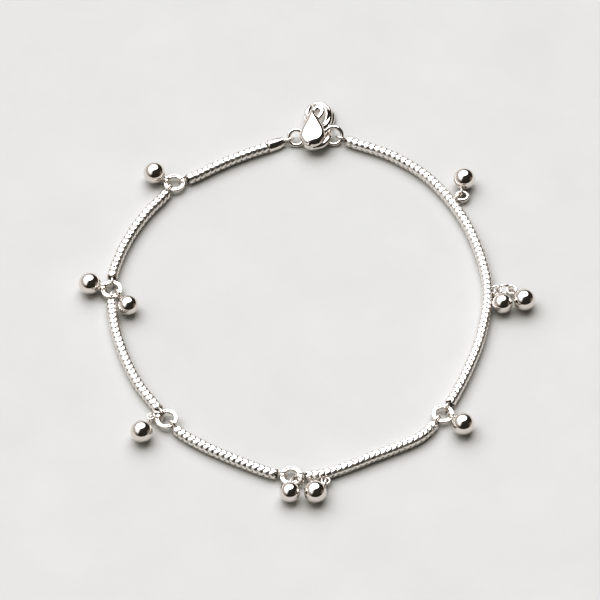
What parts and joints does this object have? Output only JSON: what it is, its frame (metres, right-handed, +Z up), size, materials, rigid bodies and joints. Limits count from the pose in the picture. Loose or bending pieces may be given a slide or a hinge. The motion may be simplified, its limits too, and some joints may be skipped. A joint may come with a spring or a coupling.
{
  "type": "payal anklet",
  "caption": "Silver payal anklet of square woven chain with thick station rings, ball drops and a lobster clasp, lying as a closed loop.",
  "frame": {"origin": "middle of the whole anklet's box, on the surface that it lies on", "axes": "+X to the wearer's right as the picture shows it, +Y away from the viewer towards the clasp, +Z up from the surface"},
  "size_m": [0.0864, 0.0966, 0.0042],
  "materials": {
    "polished_silver": "mirror polished silver with a slight warm tint",
    "woven_silver": "bright silver foxtail chain, dark in the gaps between its links"
  },
  "bodies": {
    "anklet": {"ring_upper_left": "polished_silver", "ring_left": "polished_silver", "ring_lower_left": "polished_silver", "ring_bottom": "polished_silver", "ring_lower_right": "polished_silver", "jump_ring_lower_left": "polished_silver", "jump_ring_bottom": "polished_silver", "jump_ring_right_inner": "polished_silver", "jump_ring_right_outer": "polished_silver", "jump_ring_upper_right": "polished_silver", "clasp_ring_left": "polished_silver", "clasp_ring_right": "polished_silver", "drop_upper_left": "polished_silver", "drop_left_outer": "polished_silver", "drop_left_inner": "polished_silver", "drop_lower_left": "polished_silver", "drop_bottom_left": "polished_silver", "drop_bottom_right": "polished_silver", "drop_lower_right": "polished_silver", "drop_right_inner": "polished_silver", "drop_right_outer": "polished_silver", "drop_upper_right": "polished_silver", "chain_upper_left": "woven_silver", "chain_left_upper": "woven_silver", "chain_left_lower": "woven_silver", "chain_bottom_left": "woven_silver", "chain_bottom_right": "woven_silver", "chain_right": "woven_silver", "clasp_body": "polished_silver"},
    "lever": {"clasp_lever": "polished_silver"}
  },
  "joints": [
    {"name": "lever_hinge", "type": "hinge", "parent": "anklet", "child": "lever", "pos_m": [0.0001, 0.04378, 0.0011], "axis": [0, 0, -1], "range_deg": [0, 20], "stiffness_Nm_per_rad": 0.01, "springref_deg": -5.73}
  ]
}
